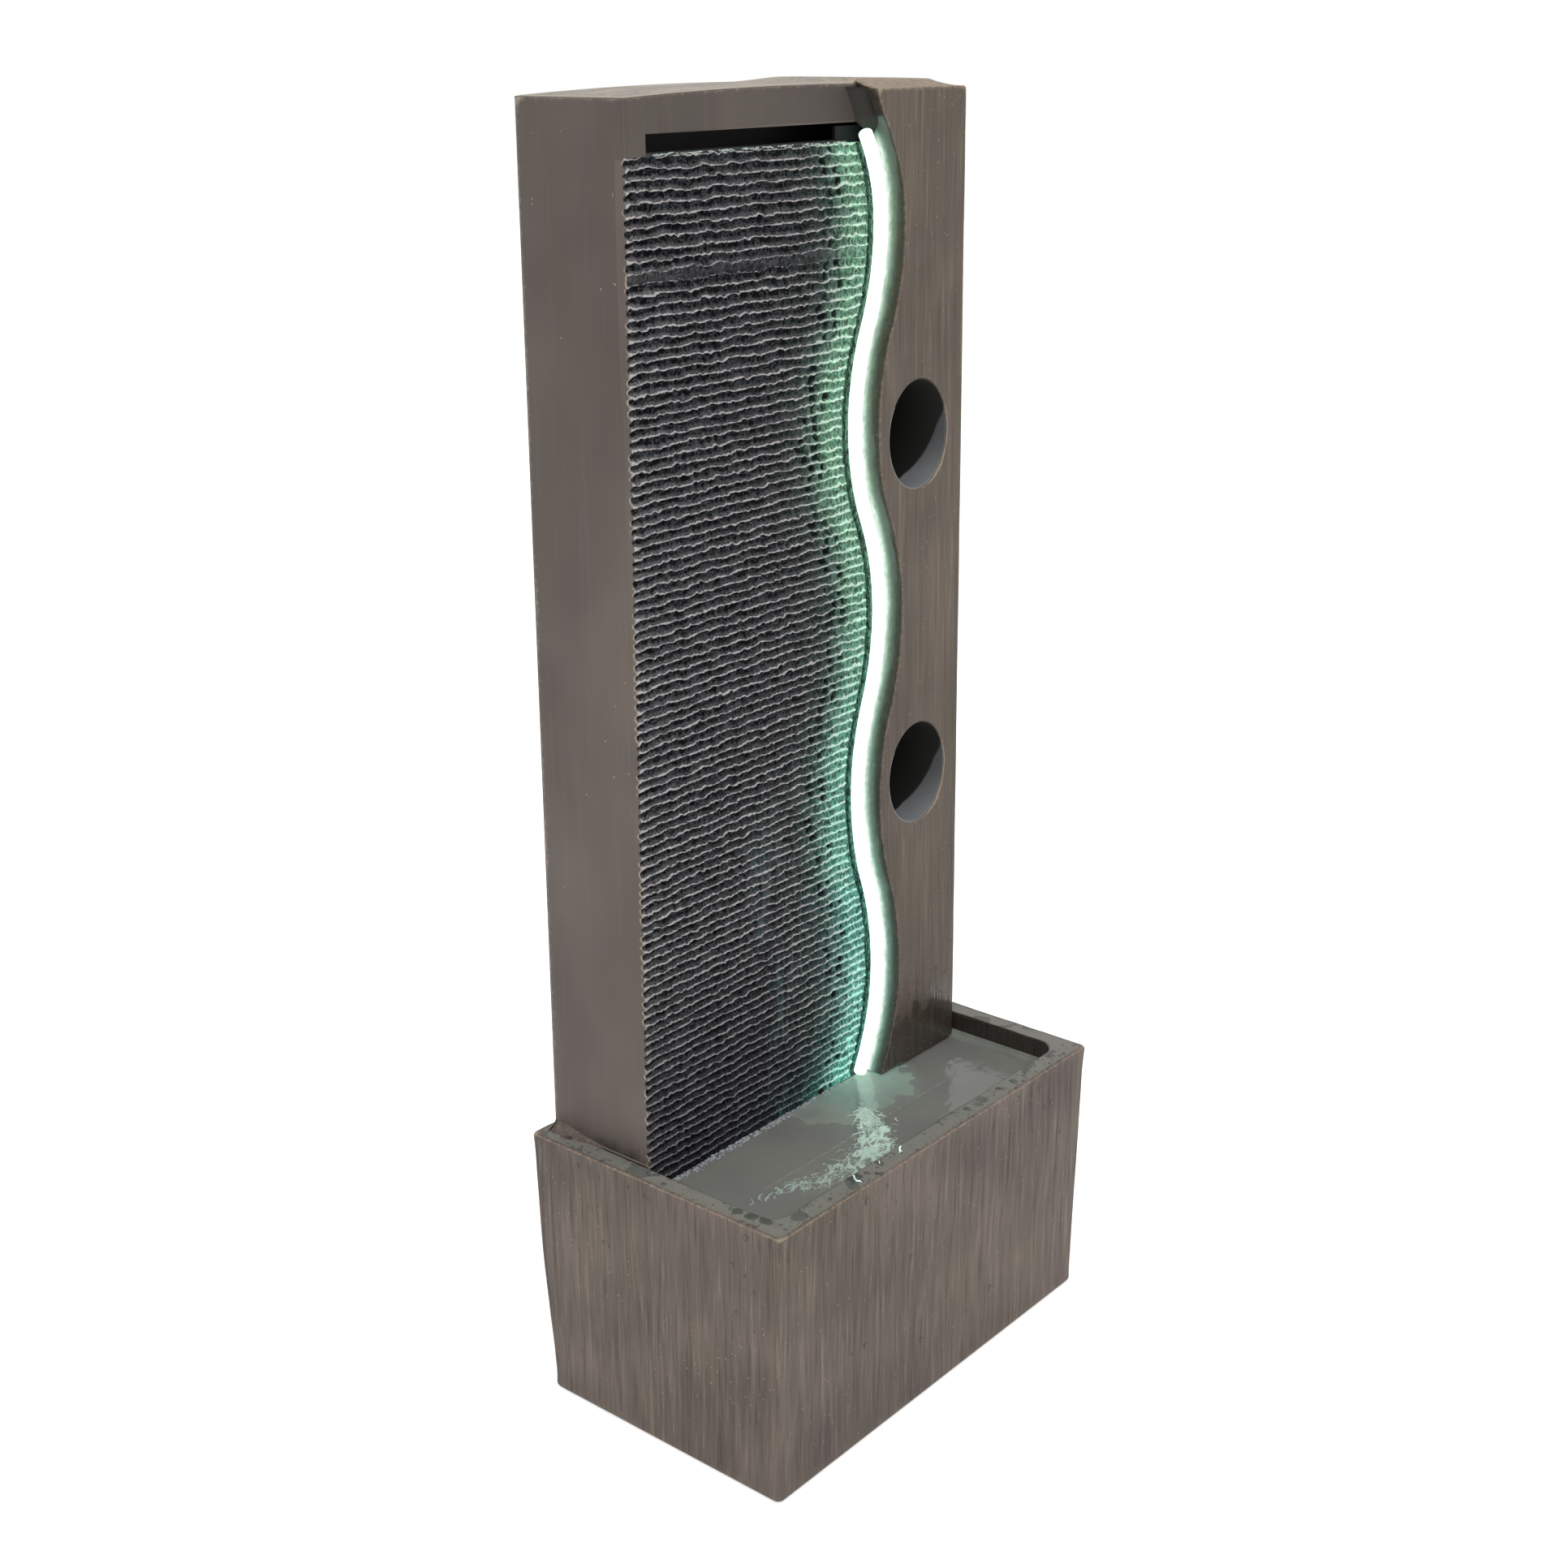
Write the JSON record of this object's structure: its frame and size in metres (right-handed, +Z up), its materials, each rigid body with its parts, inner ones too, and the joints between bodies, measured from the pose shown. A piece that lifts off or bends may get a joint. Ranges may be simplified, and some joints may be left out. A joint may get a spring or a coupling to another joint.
{
  "type": "water fountain with lit cascade tower",
  "caption": "Free-standing water fountain: a tall fluted cascade tower with a wavy light tube stands at the back of a square-cut basin.",
  "frame": {"origin": "middle of the footprint, on the floor", "axes": "+X to the right seen from the front, the front looks toward -Y, +Z up"},
  "size_m": [0.404, 0.249, 1.0039],
  "materials": {
    "outer_resin": "cast resin, brushed upright strokes, matte",
    "rim_resin": "cast resin, smooth, damp",
    "smooth_resin": "cast resin, smooth, matte",
    "dark_resin": "cast resin, near black, wet",
    "liner_resin": "dark moulded plastic",
    "black_plastic": "moulded plastic, satin",
    "grey_plastic": "moulded plastic, satin",
    "blue_plastic": "moulded plastic, glossy",
    "black_rubber": "soft rubber, matte",
    "clear_hose": "soft hose, milky",
    "light_silicone": "milky silicone, glowing",
    "cap_silicone": "milky silicone",
    "screw_steel": "stainless steel",
    "pin_ceramic": "ground ceramic"
  },
  "bodies": {
    "fountain": {"basin_shell": "outer_resin", "tray_ledge": "outer_resin", "catch_tray": "rim_resin", "tower_shell": "smooth_resin", "cascade_panel": "dark_resin", "wave_plank": "outer_resin", "port_liners": "liner_resin", "back_panel": "black_plastic", "cable_gland": "black_plastic", "gland_nut": "black_plastic", "back_screws": "screw_steel", "plank_screws": "screw_steel", "tower_bolts": "screw_steel", "spill_trough": "black_plastic", "feed_tee": "grey_plastic", "feed_nut": "grey_plastic", "spreader_bar": "grey_plastic", "riser_hose": "clear_hose", "hose_clamps": "screw_steel", "pump_body": "black_plastic", "pump_outlet": "grey_plastic", "pump_cover": "black_plastic", "impeller_shaft": "pin_ceramic", "suction_feet": "black_rubber", "led_tube": "light_silicone", "led_end_caps": "cap_silicone", "led_lead": "black_rubber", "driver_box": "black_plastic", "driver_screws": "screw_steel", "pump_lead": "black_rubber", "supply_lead": "black_rubber"},
    "door": {"access_door": "black_plastic", "door_seal": "black_rubber"},
    "bung": {"drain_bung": "black_rubber"},
    "rotor": {"impeller": "blue_plastic"},
    "dial": {"flow_dial": "grey_plastic"}
  },
  "joints": [
    {"name": "door_lift_off", "type": "slide", "parent": "fountain", "child": "door", "axis": [0, 1, 0], "range_m": [0, 0.08]},
    {"name": "bung_pull", "type": "slide", "parent": "fountain", "child": "bung", "axis": [0, 1, 0], "range_m": [0, 0.02]},
    {"name": "rotor_spin", "type": "hinge", "parent": "fountain", "child": "rotor", "pos_m": [-0.09, 0.053, 0.043], "axis": [0, 1, 0], "continuous": true},
    {"name": "dial_turn", "type": "hinge", "parent": "fountain", "child": "dial", "pos_m": [-0.1202, 0.057, 0.043], "axis": [-1, 0, 0], "range_deg": [0, 180]}
  ]
}
